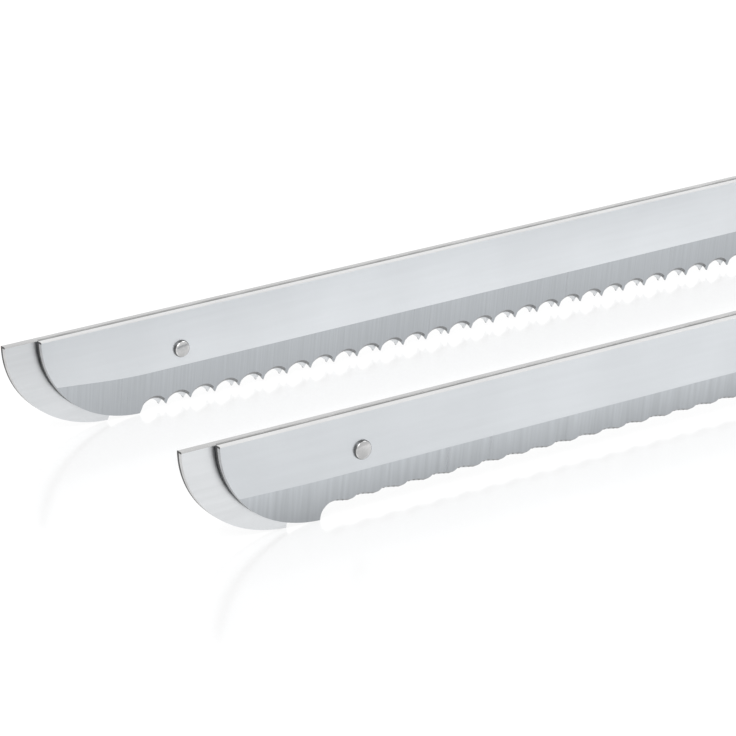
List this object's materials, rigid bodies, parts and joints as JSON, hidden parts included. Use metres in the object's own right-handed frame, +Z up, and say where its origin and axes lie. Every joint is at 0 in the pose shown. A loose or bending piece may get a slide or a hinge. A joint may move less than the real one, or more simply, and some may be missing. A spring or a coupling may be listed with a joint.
{
  "type": "electric carving knife",
  "caption": "Corded carving knife with a loop handle, a pair of serrated reciprocating blades fitted and a fine-toothed spare pair beside it.",
  "frame": {"origin": "centre of the underside of the base pad, on the knife's mid-plane", "axes": "+X from the blade tips to the rear of the handle, +Y to the user's right, +Z up from the base pad"},
  "size_m": [0.4039, 0.0875, 0.1168],
  "materials": {
    "housing": "satin moulded",
    "dark_plastic": "fine grain",
    "pad": "matt",
    "screw_steel": "zinc plated",
    "bearing_steel": "ground",
    "spring_steel": "bright",
    "brass": "machined",
    "nylon": "natural",
    "core_steel": "stacked sheets",
    "copper": "enamelled wire",
    "carbon": "pressed",
    "plunger_red": "moulded",
    "blade_steel": "satin ground",
    "rivet_steel": "peened",
    "tang_plastic": "moulded"
  },
  "bodies": {
    "housing": {"left_shell": "housing", "right_shell": "housing", "nose_guard": "dark_plastic", "base_pad": "pad", "shell_screws": "screw_steel", "inlet_socket": "dark_plastic", "inlet_pins": "brass", "gear_frame": "nylon", "gear_axle": "screw_steel", "front_bush": "brass", "middle_bearing": "bearing_steel", "rear_bearing": "bearing_steel", "rear_bracket": "nylon", "motor_screws": "screw_steel", "stator_core": "core_steel", "field_coils": "copper", "brush_holders": "brass", "carbon_brushes": "carbon", "brush_springs": "spring_steel", "switch_body": "dark_plastic", "trigger_pin": "screw_steel", "trigger_spring": "spring_steel"},
    "drive": {"drive_gear": "nylon", "left_eccentric": "brass", "right_eccentric": "brass"},
    "armature": {"armature_shaft": "screw_steel", "armature_core": "core_steel", "armature_windings": "copper", "commutator": "copper", "cooling_fan": "nylon", "worm": "screw_steel"},
    "left_slide": {"left_slider": "nylon", "left_latch_spring": "spring_steel"},
    "right_slide": {"right_slider": "nylon", "right_latch_spring": "spring_steel"},
    "left_cutter": {"left_blade": "blade_steel", "left_tang": "tang_plastic", "left_tang_rivets": "rivet_steel", "blade_rivet": "rivet_steel"},
    "right_cutter": {"right_blade": "blade_steel", "right_tang": "tang_plastic", "right_tang_rivets": "rivet_steel"},
    "trigger": {"trigger": "dark_plastic"},
    "plunger": {"switch_plunger": "plunger_red"},
    "lock": {"lock_button": "dark_plastic"},
    "left_release": {"left_release_button": "dark_plastic"},
    "right_release": {"right_release_button": "dark_plastic"},
    "spare_left": {"spare_left_blade": "blade_steel", "spare_left_tang": "tang_plastic", "spare_left_rivets": "rivet_steel", "spare_blade_rivet": "rivet_steel"},
    "spare_right": {"spare_right_blade": "blade_steel", "spare_right_tang": "tang_plastic", "spare_right_rivets": "rivet_steel"}
  },
  "joints": [
    {"name": "gear_turn", "type": "hinge", "parent": "housing", "child": "drive", "pos_m": [-0.046, 0, 0.019], "axis": [0, 1, 0], "range_deg": [-171.61, 8.49]},
    {"name": "armature_spin", "type": "hinge", "parent": "housing", "child": "armature", "pos_m": [0, 0, 0.0355], "axis": [1, 0, 0], "range_deg": [-202.5, 4117.5]},
    {"name": "left_stroke", "type": "slide", "parent": "housing", "child": "left_slide", "axis": [1, 0, 0], "range_m": [-0.00611, 0.00031]},
    {"name": "right_stroke", "type": "slide", "parent": "housing", "child": "right_slide", "axis": [1, 0, 0], "range_m": [-0.00031, 0.00611]},
    {"name": "left_pull_out", "type": "slide", "parent": "left_slide", "child": "left_cutter", "axis": [-1, 0, 0], "range_m": [0, 0.045], "deforming": ["left_latch_spring", "right_latch_spring"]},
    {"name": "right_pull_out", "type": "slide", "parent": "right_slide", "child": "right_cutter", "axis": [-1, 0, 0], "range_m": [0, 0.045]},
    {"name": "trigger_squeeze", "type": "hinge", "parent": "housing", "child": "trigger", "pos_m": [0.004, 0, 0.0935], "axis": [0, 1, 0], "range_deg": [0, 6], "stiffness_Nm_per_rad": 0.7, "springref_deg": -5.73, "deforming": ["trigger_spring"]},
    {"name": "plunger_rise", "type": "slide", "parent": "housing", "child": "plunger", "axis": [0, 0, 1], "range_m": [0, 0.0021]},
    {"name": "lock_slide", "type": "slide", "parent": "housing", "child": "lock", "axis": [1, 0, 0], "range_m": [0, 0.006]},
    {"name": "left_release_press", "type": "slide", "parent": "housing", "child": "left_release", "axis": [0, 1, 0], "range_m": [0, 0.0022], "stiffness_N_per_m": 800, "springref_m": -0.002, "deforming": ["left_latch_spring"]},
    {"name": "right_release_press", "type": "slide", "parent": "housing", "child": "right_release", "axis": [0, -1, 0], "range_m": [0, 0.0022], "stiffness_N_per_m": 800, "springref_m": -0.002, "deforming": ["right_latch_spring"]},
    {"name": "spare_lift", "type": "slide", "parent": "housing", "child": "spare_left", "axis": [0, 0, 1], "range_m": [0, 0.0002]},
    {"name": "spare_stroke", "type": "slide", "parent": "spare_left", "child": "spare_right", "axis": [1, -0.0082, 0], "range_m": [-0.0006, 0.0122]}
  ],
  "couplings": [
    {"joint": "gear_turn", "follows": "armature_spin", "ratio": -0.041667},
    {"joint": "left_stroke", "follows": "armature_spin", "m_per_rad": -0.000084883},
    {"joint": "right_stroke", "follows": "armature_spin", "m_per_rad": 0.000084883},
    {"joint": "right_pull_out", "follows": "left_pull_out", "ratio": 1},
    {"joint": "plunger_rise", "follows": "trigger_squeeze", "m_per_rad": 0.0195}
  ]
}
